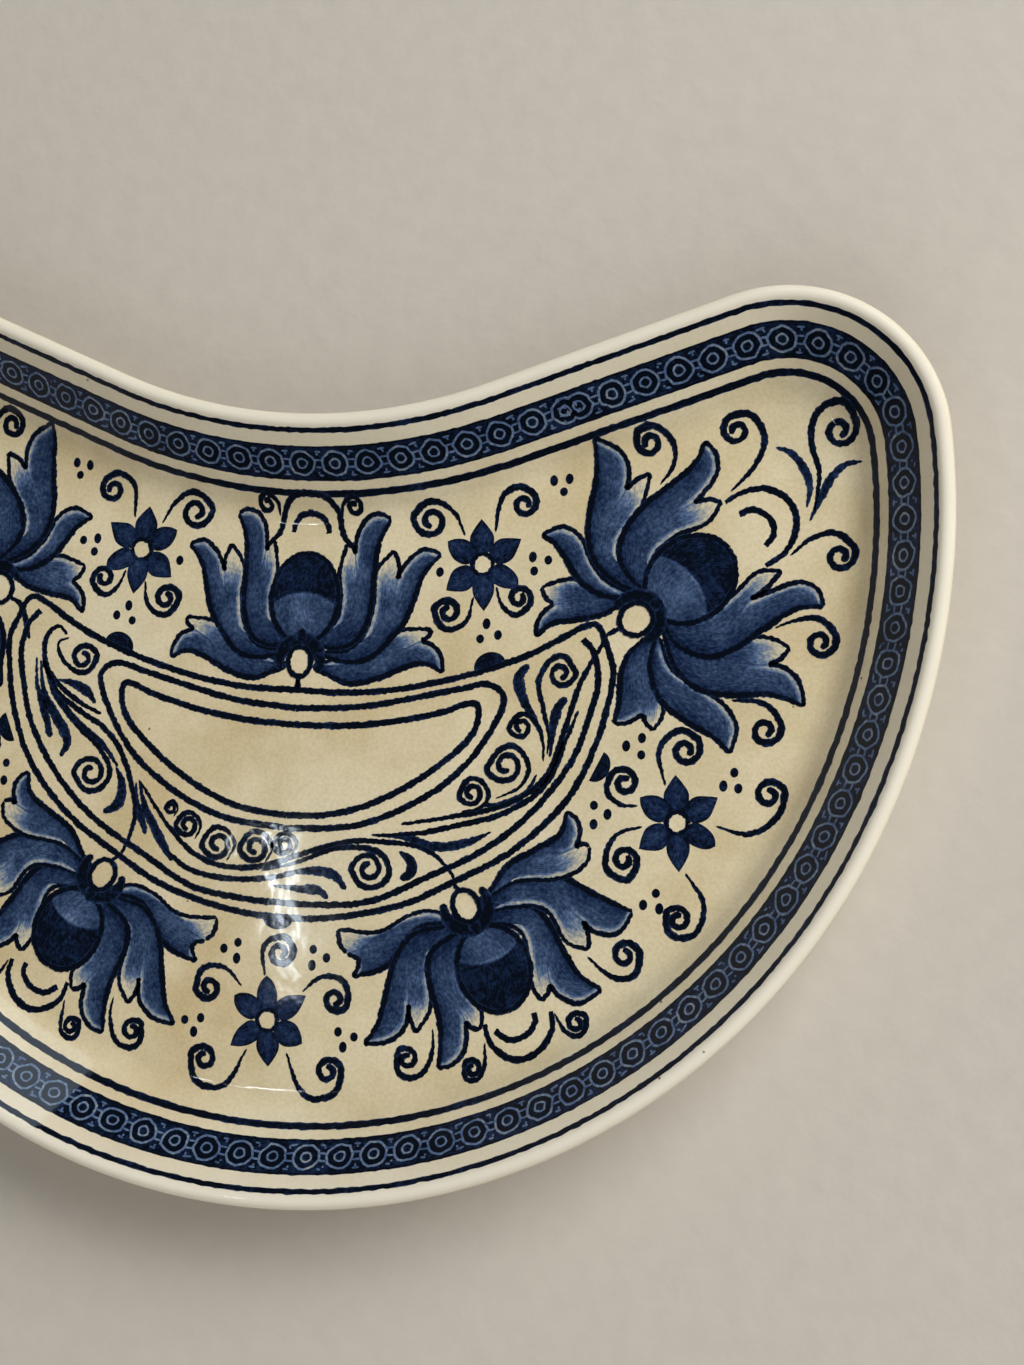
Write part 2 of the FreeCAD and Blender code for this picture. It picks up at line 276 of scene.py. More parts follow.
def cream_glaze_material():
    """Cream glaze: cloudy and finely grained, with a few iron specks, paler up to the lip, and painted
    lighter on the lip's top as a highlight.
    """
    material = new_material("cream_glaze")
    spot, normal, gloss = glass_surface(material)
    cloud = grain(material, spot, 22.0, 4.0)
    colour = ramp(material, cloud, (0.3, CREAM_THICK), (0.5, CREAM), (0.72, CREAM_PALE))
    for scale, detail, low, shade in ((1400.0, 4.0, 0.36, GRAIN_SHADE), (85.0, 3.0, 0.34, STAIN_SHADE)):
        shadow = ramp(material, grain(material, spot, scale, detail), (low, shade), (0.62, (1, 1, 1)))
        colour = mixed(material, 1.0, colour, shadow, "MULTIPLY")
    height = add_node(material, "SeparateXYZ", {"Vector": spot}).outputs["Z"]
    slope = remap(material, height, WELL_HEIGHT + 0.5 * MM, LIP_HEIGHT, 0.0, 0.6)
    colour = mixed(material, slope, colour, (*CREAM_SLOPE, 1))
    # painted highlight: the top of the lip is mixed towards a paler cream, partly for thin glaze and partly
    # standing in for light falling on the lip
    lip_thin_and_lit = remap(material, height, coat_high.z - 1.2 * MM, coat_high.z, 0.0, 0.75)
    colour = mixed(material, lip_thin_and_lit, colour, (*CREAM_LIP_THIN_AND_LIT, 1))
    cells = add_node(material, "TexVoronoi", {"Vector": spot, "Scale": 150.0})
    rare = remap(material, cells.outputs["Color"], 0.64, 0.66)
    core = remap(material, cells.outputs["Distance"], 0.05, 0.025)
    size = add_node(material, "Math", {0: rare, 1: core}, operation="MULTIPLY").outputs["Value"]
    colour = mixed(material, size, colour, (*SPECK, 1))
    finish_material(material, colour, normal, gloss)
    return material


cream_glaze = cream_glaze_material()
coat = bmesh.new()
sweep_coat(coat)
bmesh.ops.recalc_face_normals(coat, faces=coat.faces[:])
inner = [face for face in coat.faces if abs(face.calc_center_median().z - WELL_HEIGHT) < 0.001 * MM]
if inner[0].normal.z < 0:
    bmesh.ops.reverse_faces(coat, faces=coat.faces[:])
close_well(coat)
coat_piece = new_piece("glaze_skin", coat, cream_glaze)
thickness = coat_piece.modifiers.new("thickness", "SOLIDIFY")
thickness.thickness = GLAZE
thickness.offset = -1
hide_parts("glaze_coat")

# ------------------------------------------------------------------------------------------
# Fired clay: the pale buff body, seen only where the foot ring's tread was wiped clean before
# firing. The glaze inside the foot ring is the same cream as the rest.
# ------------------------------------------------------------------------------------------
CLAY = (0.62, 0.50, 0.35)
CLAY_WORN = (0.36, 0.27, 0.18)
CLAY_PALE = (0.70, 0.60, 0.45)


def fired_clay_material():
    material = new_material("fired_clay")
    spot = add_node(material, "TexCoord").outputs["Object"]
    grit = grain(material, spot, 1400.0, 6.0)
    stain = grain(material, spot, 45.0, 5.0)
    colour = ramp(material, stain, (0.3, CLAY_WORN), (0.55, CLAY), (0.8, CLAY_PALE))
    colour = mixed(material, 0.35, colour, ramp(material, grit, (0.3, CLAY_WORN), (0.7, CLAY)))
    bump = add_node(material, "Bump", {"Height": grit, "Strength": 0.6, "Distance": 0.08 * MM})
    finish_material(material, colour, bump.outputs["Normal"], remap(material, grit, 0.2, 0.8, 0.62, 0.9))
    return material


def recoat(node, material):
    """Gives a carried-over node its finished material."""
    bpy.data.objects[node].data.materials.clear()
    bpy.data.objects[node].data.materials.append(material)


recoat("biscuit_body", fired_clay_material())
recoat("foot_recess_glaze", cream_glaze)

# ------------------------------------------------------------------------------------------
# Border lines: two thin blue lines round the wall, one each side of the band. All the blue is
# a transfer print, ink laid from tissue on the clay under the glaze, so every printed piece is
# a thin skin on the face with ragged edges. Print sizes written without MM are in millimetres.
# ------------------------------------------------------------------------------------------
RING_LINE = 9.7 * MM
PRINT_LIFT = 0.02               # millimetres above the face
OUTER_LINE, OUTER_WIDTH = 3.7, 0.95
INNER_LINE, INNER_WIDTH = 15.2, 1.3
LINE_STEP = 0.9 * MM
LINE_INK = 0.98                 # 1 is nearly black
BORDER_SHAKE = 0.22
EDGE_TONE = 0.76                # the ink thins out to this share at a line's edges

HALF_BORDER = (sum((radius - RING_LINE) * (last - first) for _, radius, first, last in round_turns)
               + STRAIGHT + (HOLLOW + RING_LINE) * HORN_SLOPE)


def border_spot(distance, inset):
    """The place at a distance round the ring line from the front, and an inset from the rim."""
    distance %= 2 * HALF_BORDER
    if distance > HALF_BORDER:
        spot = border_spot(2 * HALF_BORDER - distance, inset)
        return Vector((-spot.x, spot.y))
    for centre, radius, first, last in round_turns:
        angle = first + distance / (radius - RING_LINE)
        if angle <= last:
            return toward(centre, radius - inset, angle)
        distance -= (radius - RING_LINE) * (last - first)
    if distance <= STRAIGHT:
        return straight_start + distance * straight_way + inset * straight_inward
    angle = TO_STRAIGHT - pi - (distance - STRAIGHT) / (HOLLOW + RING_LINE)
    return toward(hollow_centre, HOLLOW + inset, angle)


def new_print():
    """An empty printed piece. Its ink layer holds, in millimetres, the place along and across the
    mark, and then how deep the ink is, from 0 for none to 1 for nearly black."""
    bm = bmesh.new()
    bm.verts.layers.float_vector.new("ink")
    return bm


def bend_grid(bm, along, across, bend):
    """Lays a flat grid and bends it: bend(along 0..1, across -1..1) gives each place and ink."""
    ink = bm.verts.layers.float_vector["ink"]
    verts = bmesh.ops.create_grid(bm, x_segments=along, y_segments=across, size=1)["verts"]
    for vert in verts:
        vert.co, vert[ink] = bend((vert.co.x + 1) / 2, vert.co.y)
    return verts


def ragged(along, seed):
    """The uneven edge of a printed line, in millimetres."""
    return 0.22 * noise.noise((along * 1.1, seed * 7.3, 0.5)) + 0.07 * sin(along * 5.1 + seed)


def border_strip(bm, middle, width, depth, across, edge, lift=0, rough=1.0):
    """A printed strip all the way round the wall. edge is its ink's share at the two edges."""
    def bend(part, side):
        distance = part * 2 * HALF_BORDER
        loop = 2 * pi * part
        wander = 80 * Vector((cos(loop), sin(loop)))
        shake = BORDER_SHAKE * rough * noise.noise((wander.x, wander.y, side * 5))
        offset = side * (width / 2 + shake)
        inset = (middle + offset) * MM
        spot = border_spot(distance, inset)
        tone = depth * (edge if abs(side) > 0.9 else 1)
        place = (*spot, face_height(inset) + (PRINT_LIFT + lift) * MM)
        return place, (distance / MM, side, tone)
    bend_grid(bm, ceil(2 * HALF_BORDER / LINE_STEP), across, bend)


def finish_print(name, bm, material):
    """Joins up a printed piece's seams, turns it face up and makes it."""
    bmesh.ops.remove_doubles(bm, verts=bm.verts[:], dist=0.002 * MM)
    bmesh.ops.dissolve_degenerate(bm, edges=bm.edges[:], dist=0.001 * MM)
    bm.normal_update()
    bmesh.ops.reverse_faces(bm, faces=[face for face in bm.faces if face.normal.z < 0])
    return new_piece(name, bm, material)


INK_STOPS = ((0.0, (0.70, 0.62, 0.44)), (0.16, (0.42, 0.42, 0.37)), (0.34, (0.152, 0.215, 0.320)),
             (0.45, (0.078, 0.132, 0.268)), (0.60, (0.033, 0.060, 0.128)), (0.76, (0.009, 0.022, 0.070)),
             (0.95, (0.0016, 0.0038, 0.0095)))


def blue_print_material():
    """Blue transfer ink under the glaze: mottled, engraved in fine streaks, thin at its edges."""
    material = new_material("blue_print")
    spot, normal, gloss = glass_surface(material)
    ink = add_node(material, "Attribute", attribute_name="ink").outputs["Vector"]
    parts = add_node(material, "SeparateXYZ", {"Vector": ink}).outputs
    streaks = add_node(material, "CombineXYZ", {"X": remap(material, parts["X"], 0, 100, 0, 60),
                                                "Y": remap(material, parts["Y"], 0, 10, 0, 42)})
    hatch = grain(material, streaks.outputs["Vector"], 1.0, 2.0)
    mottle = grain(material, spot, 1300.0, 3.0)
    cloud = grain(material, spot, 160.0, 3.0)
    depth = parts["Z"]
    for pattern, swing in ((hatch, 0.13), (mottle, 0.12), (cloud, 0.10)):
        part = remap(material, pattern, 0.25, 0.75, -swing, swing)
        depth = add_node(material, "Math", {0: depth, 1: part}, operation="ADD").outputs["Value"]
    finish_material(material, ramp(material, depth, *INK_STOPS), normal, gloss)
    return material


blue_print = blue_print_material()
for line_name, line_inset, line_width in (("outer_border_line", OUTER_LINE, OUTER_WIDTH),
                                          ("inner_border_line", INNER_LINE, INNER_WIDTH)):
    line = new_print()
    border_strip(line, line_inset, line_width, LINE_INK, 4, EDGE_TONE)
    finish_print(line_name, line, blue_print)

# ------------------------------------------------------------------------------------------
# Ring band: a deep blue band with a chain of rings let into it. The chain is one long strip of
# tissue, and its two ends overlap by about half a ring where it closes, beside the right horn.
# ------------------------------------------------------------------------------------------
BAND_MIDDLE, BAND_WIDTH = 9.7, 6.3
BAND_EDGE = 0.55
RING_PITCH = 7.10
RING_COUNT = 101
RING_SEAM = 300.0
LIGHT_RING, LIGHT_WIDTH = 2.75, 0.5
DARK_RING, DARK_WIDTH = 1.95, 1.0
EYE_RING, EYE_WIDTH = 1.1, 0.42
EYE_DOT = 0.5
BLACK, BAND_INK, PALE_INK = 1.0, 0.90, 0.39


def lay_on_band(bm, verts, distance, depth, lift):
    """Lays flat shapes drawn about the origin, in millimetres, on the band at a distance round it."""
    ink = bm.verts.layers.float_vector["ink"]
    for vert in verts:
        along, across = vert.co.x, vert.co.y
        inset = (BAND_MIDDLE + across * cos(WALL_SLOPE)) * MM
        place = border_spot((distance + along) * MM, inset)
        vert.co = (*place, face_height(inset) + (PRINT_LIFT + lift) * MM)
        vert[ink] = (along, across, depth)


def band_ring(bm, distance, radius, width, depth, lift, sides, wobble):
    """One ring of the chain, drawn a little unevenly."""
    verts = []
    for reach in (radius + width / 2, radius - width / 2):
        verts += bmesh.ops.create_circle(bm, segments=sides, radius=reach)["verts"]
    bmesh.ops.bridge_loops(bm, edges=list({edge for vert in verts for edge in vert.link_edges}))
    for vert in verts:
        reach = vert.co.xy.length
        stretch = 1 + wobble * noise.noise((distance, vert.co.x / reach * 2, vert.co.y / reach * 2))
        vert.co.xy *= stretch
    lay_on_band(bm, verts, distance, depth, lift)


def band_mark(bm, distance, along, across, length, width, depth, lift, turn=0.0):
    """A small dab between the rings."""
    verts = bmesh.ops.create_circle(bm, segments=8, radius=0.5, cap_ends=True)["verts"]
    for vert in verts:
        x, y = vert.co.x * length, vert.co.y * width
        vert.co.xy = (along + x * cos(turn) - y * sin(turn), across + x * sin(turn) + y * cos(turn))
    lay_on_band(bm, verts, distance, depth, lift)


ground = new_print()
border_strip(ground, BAND_MIDDLE, BAND_WIDTH, BAND_INK, 6, 1.0)
finish_print("band_ground", ground, blue_print)

edges_strip = new_print()
for side in (-1, 1):
    edge_middle = BAND_MIDDLE + side * (BAND_WIDTH - BAND_EDGE) / 2
    border_strip(edges_strip, edge_middle, BAND_EDGE, BLACK, 2, 0.85, lift=0.004, rough=0.5)
finish_print("band_dark_edges", edges_strip, blue_print)

light_rings, dark_rings, flecks = new_print(), new_print(), new_print()
for count in range(RING_COUNT):
    ring_place = RING_SEAM + count * RING_PITCH
    band_ring(light_rings, ring_place, LIGHT_RING, LIGHT_WIDTH, PALE_INK, 0.008, 18, 0.16)
    band_ring(dark_rings, ring_place, DARK_RING, DARK_WIDTH, BLACK, 0.012, 16, 0.12)
    band_ring(light_rings, ring_place, EYE_RING, EYE_WIDTH, PALE_INK, 0.016, 10, 0.22)
    band_mark(dark_rings, ring_place, 0, 0, 2 * EYE_DOT, 2 * EYE_DOT, 0.95, 0.02)
    between = ring_place + RING_PITCH / 2
    band_mark(dark_rings, between, 0, 0, 0.8, 0.9, 1.0, 0.02)
    for side in (-1, 1):
        shake = noise.noise((count * 1.7, side * 3.1, 0.4))
        band_mark(flecks, between, 0.3 * shake, side * 0.85, 1.9, 0.48, 0.43, 0.014, 0.25 * shake)
        band_mark(flecks, between, 0.9 * shake, side * 2.75, 1.5 + shake, 0.55, 0.46, 0.010, 0.5 * shake)
        band_mark(flecks, between, -0.6 * shake, side * 2.2, 0.5, 0.7 + 0.4 * shake, 0.46, 0.012, shake)
finish_print("band_light_rings", light_rings, blue_print)
finish_print("band_dark_rings", dark_rings, blue_print)
finish_print("band_flecks", flecks, blue_print)

# ------------------------------------------------------------------------------------------
# Crescent panel: two bold lines bound a crescent in the middle of the well, and two more bound
# a bare pointed panel inside it. Each is a pen line of even width with a ragged edge.
# ------------------------------------------------------------------------------------------
PEN_STEP = 0.45


def inset_of(x, y):
    """How far in from the rim a place lies, in metres; anywhere on the well counts as deep."""
    spot = Vector((abs(x), y))
    found = [FLOOR_INSET]
    for centre, radius, first, last in round_turns:
        reach = spot - centre
        if first <= atan2(reach.y, reach.x) <= last:
            found.append(radius - reach.length)
    reach = spot - straight_start
    if 0 <= reach.dot(straight_way) <= STRAIGHT:
        found.append(reach.dot(straight_inward))
    reach = spot - hollow_centre
    if -pi / 2 <= atan2(reach.y, reach.x) <= TO_STRAIGHT - pi:
        found.append(reach.length - HOLLOW)
    return min(found)


def on_face(x, y, lift):
    """The place on the glazed face over a spot given in millimetres."""
    return x * MM, y * MM, face_height(inset_of(x * MM, y * MM)) + (PRINT_LIFT + lift) * MM


class PenLine:
    """A smooth line through given points in millimetres. Its runs meet at sharp corners."""

    def __init__(self, *runs):
        self.points = [Vector(runs[0][0])]
        for run in runs:
            knots = [Vector(point) for point in run]
            ends = [2 * knots[0] - knots[1]] + knots + [2 * knots[-1] - knots[-2]]
            for before, start, end, after in zip(ends, ends[1:], ends[2:], ends[3:]):
                reach = (end - start).length
                leave = start + (end - before).normalized() * reach / 3
                arrive = end - (after - start).normalized() * reach / 3
                count = max(3, ceil(reach / PEN_STEP) + 1)
                self.points += interpolate_bezier(start, leave, arrive, end, count)[1:]
        self.marks = [0.0]
        for start, end in zip(self.points, self.points[1:]):
            self.marks.append(self.marks[-1] + (end - start).length)
        self.length = self.marks[-1]

    def at(self, part):
        """The place and the way across at a part of the length."""
        distance = min(max(part, 0), 1) * self.length
        low, high = 0, len(self.marks) - 1
        while high - low > 1:
            middle = (low + high) // 2
            low, high = (middle, high) if self.marks[middle] <= distance else (low, middle)
        start, end = self.points[low], self.points[high]
        share = (distance - self.marks[low]) / max(self.marks[high] - self.marks[low], 1e-9)
        way = (end - start).normalized()
        return start.lerp(end, share), Vector((-way.y, way.x))


def taper(widths, part):
    """Reads a width along a line from a few widths spaced evenly over it."""
    place = part * (len(widths) - 1)
    low = min(int(place), len(widths) - 2)
    return widths[low] + (widths[low + 1] - widths[low]) * (place - low)


def stroke(bm, line, widths, depth, lift, side=1, closed=False):
    """A pen stroke along a line. It is drawn side times as far to the right: -1 mirrors it."""
    seed = line.points[0].x + line.points[0].y + side

    def bend(part, across):
        spot, way = line.at(part)
        along = part * line.length
        half = taper(widths, part) / 2
        if not closed:
            to_end = min(along, line.length - along)
            if to_end < half:
                half *= max(1 - (1 - to_end / half) ** 2, 0) ** 0.5
        rough = ragged(along, seed + across) * min(1, half / 0.4)
        spot = spot + way * across * (half + rough * abs(across))
        tone = depth * (EDGE_TONE if abs(across) > 0.9 else 1)
        return on_face(side * spot.x, spot.y, lift), (along, across * half, tone)
    bend_grid(bm, max(4, ceil(line.length / PEN_STEP)), 4, bend)


PANEL_LINE = 1.4
CRESCENT_OUTER = ((0, 10.2), (11, 10.2), (22, 11.6), (32, 14), (40.3, 16.6), (48.7, 20), (55.3, 23.7),
                  (60.3, 26.6), (63, 27), (65.3, 22.8), (67, 17.8), (66.2, 10.3), (64.5, 2.8),
                  (60.3, -7.2), (54.5, -14.7), (47, -21.3), (37, -27.2), (27.8, -32.2), (17, -35.5),
                  (7, -37.2), (0, -37.4))
CRESCENT_INNER = ((60.3, 24.1), (62.8, 21.2), (64, 15), (62.8, 8.7), (60.3, 0.3), (55.3, -8),
                  (48.7, -15.5), (41.2, -21.3), (32, -26.3), (19.5, -32.6), (7, -34.3), (0, -34.4))
PANEL_OUTER = ((0, 6.3), (13.7, 7.4), (25.3, 9.9), (35.3, 12.4), (41.2, 13.7), (44.5, 11.6), (44.1, 7.8),
               (41.2, 2), (37.8, -3), (32.8, -8), (23.7, -13.8), (13.7, -17.6), (0, -18.9))
PANEL_INNER = ((0, 2.8), (11.2, 3.3), (22, 4.9), (32, 7.4), (38.6, 9.6), (39.6, 7.3),
               (38.3, 2.8), (33.7, -2.2), (26.2, -8), (17, -13), (8.7, -15.5), (0, -16.2))
panel_lines = new_print()
for side in (1, -1):
    for points in (CRESCENT_OUTER, CRESCENT_INNER, PANEL_OUTER, PANEL_INNER):
        stroke(panel_lines, PenLine(points), (PANEL_LINE, PANEL_LINE), BLACK, 0.02, side, closed=True)
finish_print("crescent_lines", panel_lines, blue_print)

# ------------------------------------------------------------------------------------------
# Blossoms: five big flowers printed in the well, one under the hollow, one in each horn and two
# along the belly. Each has a bare bead at its base, a bud with a dark cap, curled petals with a
# pale split lobe, and two hoops over the bud. The fills are one piece and the outlines another.
# ------------------------------------------------------------------------------------------
FILL_STEP = 0.42
PETAL_DEPTH = 0.635
LOBE_BULGE = 0.16
PETAL_LAYER = 0.012             # each petal lies this much over the one before it
BUD_LIFT, BUD_LINE_LIFT, COLLAR_LIFT, WEDGE_LIFT, BEAD_LIFT = 0.110, 0.120, 0.125, 0.127, 0.130
BUD_INK, CAP_INK = 0.66, 0.91
HOOP_WEIGHT = 1.15              # hoops are drawn this much bolder than their widths below


def smooth_part(value, low, high):
    part = min(max((value - low) / (high - low), 0), 1)
    return part * part * (3 - 2 * part)


def blade(bm, left, right, shade, lift, side):
    """Fills the space between two lines that share their ends. shade gives the ink at a part of
    their length, a share of the way across and a distance from the left line."""
    width = max((left.at(part / 8)[0] - right.at(part / 8)[0]).length for part in range(1, 8))
    length = max(left.length, right.length)

    def bend(part, across):
        start, end = left.at(part)[0], right.at(part)[0]
        share = (across + 1) / 2
        spot = start.lerp(end, share)
        from_left = share * (end - start).length
        ink = (part * length, from_left, shade(part, share, from_left))
        return on_face(side * spot.x, spot.y, lift), ink
    bend_grid(bm, ceil(length / FILL_STEP), max(3, ceil(width / FILL_STEP)), bend)


def petal(fills, outlines, order, side, lobe_edge, notch, back, main_edge):
    """One curled petal: a main blade, and beside it a lobe that fades to bare glaze at its tip.
    lobe_edge and main_edge run from the base to each tip, and back from the notch to the main tip.
    A petal with no notch has no lobe, and both its edges end at the one tip."""
    lift, top = PETAL_LAYER * order, PETAL_LAYER * (order + 0.5)
    lobe_line, main_line = PenLine(lobe_edge), PenLine(main_edge)

    def pale_edge(from_left):
        return exp(-((from_left - 0.8) / 0.55) ** 2)

    def main_shade(part, share, from_left):
        pale = 0.40 * pale_edge(from_left) * smooth_part(part, bare_from, bare_from + 0.12)
        return PETAL_DEPTH + 0.20 * share ** 2 - 0.06 * sin(pi * part) - pale + 0.12 * (1 - part) ** 3

    def lobe_shade(part, share, from_left):
        pale = 0.42 * pale_edge(from_left) * smooth_part(part, 0.0, 0.15)
        bare = smooth_part(part, 0.62, 0.94)
        return (PETAL_DEPTH - 0.03 - pale + 0.12 * (1 - part) ** 3) * (1 - bare) + 0.02 * bare

    if notch:
        halfway = (lobe_line.at(0.5)[0] + main_line.at(0.42)[0]) / 2
        split = [lobe_edge[0], tuple(halfway), notch]
        back_line = PenLine(split, [notch, *back, main_edge[-1]])
        bare_from = PenLine(split).length / back_line.length - 0.1
        blade(fills, back_line, main_line, main_shade, lift, side)
        rise = Vector(lobe_edge[-1]) - Vector(notch)
        bulge = Vector(notch) + rise * 0.5 + (Vector(notch) - lobe_line.at(0.8)[0]) * LOBE_BULGE
        lobe_end = [notch, tuple(bulge), lobe_edge[-1]]
        blade(fills, lobe_line, PenLine(split, lobe_end), lobe_shade, lift, side)
        stroke(outlines, PenLine(lobe_end), (1.0, 1.1, 1.0), BLACK, top, side)
        stroke(outlines, PenLine([notch, *back, main_edge[-1]]), (1.0, 1.1, 0.9), BLACK, top, side)
    else:
        bare_from = 0
        blade(fills, lobe_line, main_line, main_shade, lift, side)
    stroke(outlines, lobe_line, (0.7, 0.9, 1.0, 0.9), BLACK, top, side)
    stroke(outlines, main_line, (0.9, 1.4, 1.5, 1.4, 0.9), BLACK, top, side)


def bud(fills, outlines, centre, half_long, half_wide, lean, cap_from, side):
    """The round bud: paler below and darker in its cap. lean is the way its top points."""
    lean = radians(lean)
    way, across_way = Vector((cos(lean), sin(lean))), Vector((-sin(lean), cos(lean)))

    def edge_point(angle):
        return Vector(centre) - way * half_long * cos(angle) + across_way * half_wide * sin(angle)

    halves = [PenLine([edge_point(sign * pi * step / 12) for step in range(13)]) for sign in (1, -1)]

    def shade(part, share, _):
        height = -cos(pi * part)
        line = cap_from - 0.33 * (2 * share - 1) ** 2
        cap = smooth_part(height, line - 0.03, line + 0.03)
        rim = exp(-((height - line) / 0.07) ** 2)
        glow = 0.12 * exp(-((share - 0.45) / 0.25) ** 2)
        return (BUD_INK - glow) * (1 - cap) + CAP_INK * cap - 0.10 * rim * (1 - cap)

    blade(fills, halves[0], halves[1], shade, BUD_LIFT, side)
    for half in halves:
        stroke(outlines, half, (1.3, 1.3, 1.1), BLACK, BUD_LINE_LIFT, side, closed=True)


def bead(outlines, centre, half_long, half_wide, lean, side):
    """The bare bead at a blossom's base: its dark ring, and a thick collar on the bud's side."""
    (x, y), lean, reach = centre, radians(lean), half_long + 1.3
    ring = [(x + half_long * cos(lean) * cos(turn) - half_wide * sin(lean) * sin(turn),
             y + half_long * sin(lean) * cos(turn) + half_wide * cos(lean) * sin(turn))
            for turn in (2 * pi * step / 14 for step in range(15))]
    stroke(outlines, PenLine(ring), (1.2, 1.2), BLACK, BEAD_LIFT, side, closed=True)
    collar = [(x + reach * cos(lean + turn), y + reach * sin(lean + turn))
              for turn in (radians(step * 20) for step in range(-6, 7))]
    stroke(outlines, PenLine(collar), (1.4, 3.0, 3.4, 3.0, 1.4), 0.97, COLLAR_LIFT, side)


def blossom(name, sides, petals, bud_shape, bead_shape, hoops, stems, wedge):
    """Draws a whole blossom. One on the middle line has its petals on both sides, listed in sides."""
    fills, outlines = new_print(), new_print()
    for side in sides:
        for order, shape in enumerate(petals):
            petal(fills, outlines, order, side, *shape)
        for hoop, widths in hoops:
            bold = [HOOP_WEIGHT * part for part in widths]
            stroke(outlines, PenLine(hoop), bold, BLACK, 0.0, side, closed=True)
        for stem in stems:
            stroke(outlines, PenLine(stem), (1.0, 0.9), BLACK, 0.03, side)
    bud(fills, outlines, *bud_shape, sides[0])
    bead(outlines, *bead_shape, sides[0])
    stroke(outlines, PenLine(wedge), (3.2, 2.6, 0.8), 0.95, WEDGE_LIFT, sides[0])
    finish_print(name + "_fills", fills, blue_print)
    finish_print(name + "_outlines", outlines, blue_print)


TOP_PETALS = (
    (((3, 15.6), (10, 18), (16, 20.8), (21, 23.8), (28.3, 24.5)), (26, 22), ((29.2, 20.8), (30.8, 18.4)),
     ((3, 15.0), (6.5, 13.7), (11.5, 12.2), (17.5, 13.7), (23, 16.2), (27.5, 17.3), (31.3, 15.5))),
    (((4.5, 18.4), (10.5, 19.2), (13.8, 23), (15.2, 29), (15.3, 36), (18.7, 40.7)), (19.9, 34.5),
     ((21, 37.2), (23, 39.7), (25.6, 41.2)),
     ((4.5, 17.8), (10, 16.7), (15, 17.6), (19, 21.5), (22.3, 26), (24.1, 31.5), (25.6, 36.2),
      (29, 40.3))),
    (((3.2, 20.6), (7.2, 25), (7.9, 30), (7.2, 35.5), (8.3, 41.7)), (10.2, 39.3),
     ((10.6, 44), (12.7, 47.4), (15.4, 48.1)),
     ((3.4, 20.2), (8, 19.4), (12.3, 21.6), (14.5, 27.5), (14.8, 35.5), (15.3, 42), (17.6, 47.2))),
)
TOP_HOOPS = (
    (((-0.5, 51.48), (0, 51.5), (3.5, 50.9), (6, 48.4), (7.3, 43.5), (10, 40.7)),
     (1.1, 1.2, 1.2, 0.9)),
    (((-0.5, 47.66), (0, 47.7), (2.4, 47.1), (3.7, 45.4), (4.1, 43.6)), (1.2, 1.2, 1.2, 1.0)),
)
TOP_SIDES = (1, -0.93)          # its left petals are a little narrower
blossom("top_blossom", TOP_SIDES, TOP_PETALS, ((0, 29.6), 9.6, 7.4, 90, 0.15), ((0, 16.2), 3.2, 2.5, 90),
        TOP_HOOPS, (((0, 13.5), (0.3, 10.4)),), ((0, 20.2), (0, 23.2)))

HORN_PETALS = (
    (((68.4, 33.6), (62, 35.8), (57.5, 36.4), (54.5, 35.8), (50.7, 34.3)), (53.7, 31),
     ((51.4, 29), (50.4, 26.6)),
     ((67.6, 31.6), (64, 29.4), (58, 27.9), (53.4, 26.9), (50.3, 24))),
    (((74.5, 24.5), (76.9, 17.5), (77.7, 12), (77.6, 9.3), (76, 6.3)), (73.8, 9.6),
     ((71.8, 8.2), (70, 7.4)),
     ((72.6, 24.4), (69.9, 21.5), (68.5, 17), (68.6, 11.5), (67.8, 7.2))),
    (((75.8, 25.5), (78.8, 19.0), (84.6, 15.6), (90, 12.2), (92.6, 8), (91.7, 2.7)), None, (),
     ((75.0, 25.0), (74.4, 19), (77.0, 12.6), (82.5, 8.6), (88, 5.9), (91.7, 2.7))),
    (((77.4, 28), (84, 28.6), (93.7, 26.6), (98.5, 26.2), (102.2, 24.5)), (98, 21),
     ((101.7, 20.3), (104.5, 17.6)),
     ((76.4, 27), (79.6, 19.2), (84.4, 15.3), (91.7, 14.4), (99, 15), (105.8, 13))),
    (((76.5, 29.6), (84, 30), (90.6, 35.0), (94.6, 39.3), (99.6, 39.9)), (93.6, 33.8),
     ((98.2, 35.9), (103.4, 37.8), (107, 36.3)),
     ((76.2, 28.6), (79.5, 24), (85.4, 21.8), (91, 23.7), (97, 28.2), (103, 32.4), (108.3, 33))),
    (((70.5, 33.6), (64.5, 36), (60.8, 40), (58.2, 45), (54.4, 47), (50, 45.2)), None, (),
     ((69.4, 32.9), (63.4, 33.3), (58.2, 36.6), (55.2, 40.8), (52.8, 43.6), (50, 45.2))),
    (((72.3, 34.2), (67.2, 39), (66.4, 44.5), (70.3, 51.5), (71.7, 58.8)), (67, 55),
     ((67.2, 59.3), (65.4, 62.9)),
     ((70.9, 33.9), (64.3, 37.3), (60.6, 42), (59.6, 48), (60.6, 57), (60.2, 65.2))),
    (((73.9, 33.4), (73.4, 41), (77.5, 45.8), (84, 49), (86.7, 53.4)), (81, 52.8),
     ((85, 58.4), (85, 62.6)),
     ((72.9, 33.6), (67.3, 39.4), (66.7, 45), (70.5, 51.6), (77, 57.3), (81, 61.6), (82.4, 65.8))),
)
HORN_HOOPS = (
    (((87.3, 53.3), (91, 55.6), (95.7, 56.3), (100.2, 53.8), (101.9, 49), (100.2, 43.9), (96.3, 40.7)),
     (0.8, 1.2, 1.3, 1.2, 0.9)),
    (((90.3, 51), (93, 52), (96.4, 50.4), (97.5, 47.3), (95.9, 44.8)), (1.2, 1.2, 1.2, 1.0)),
)
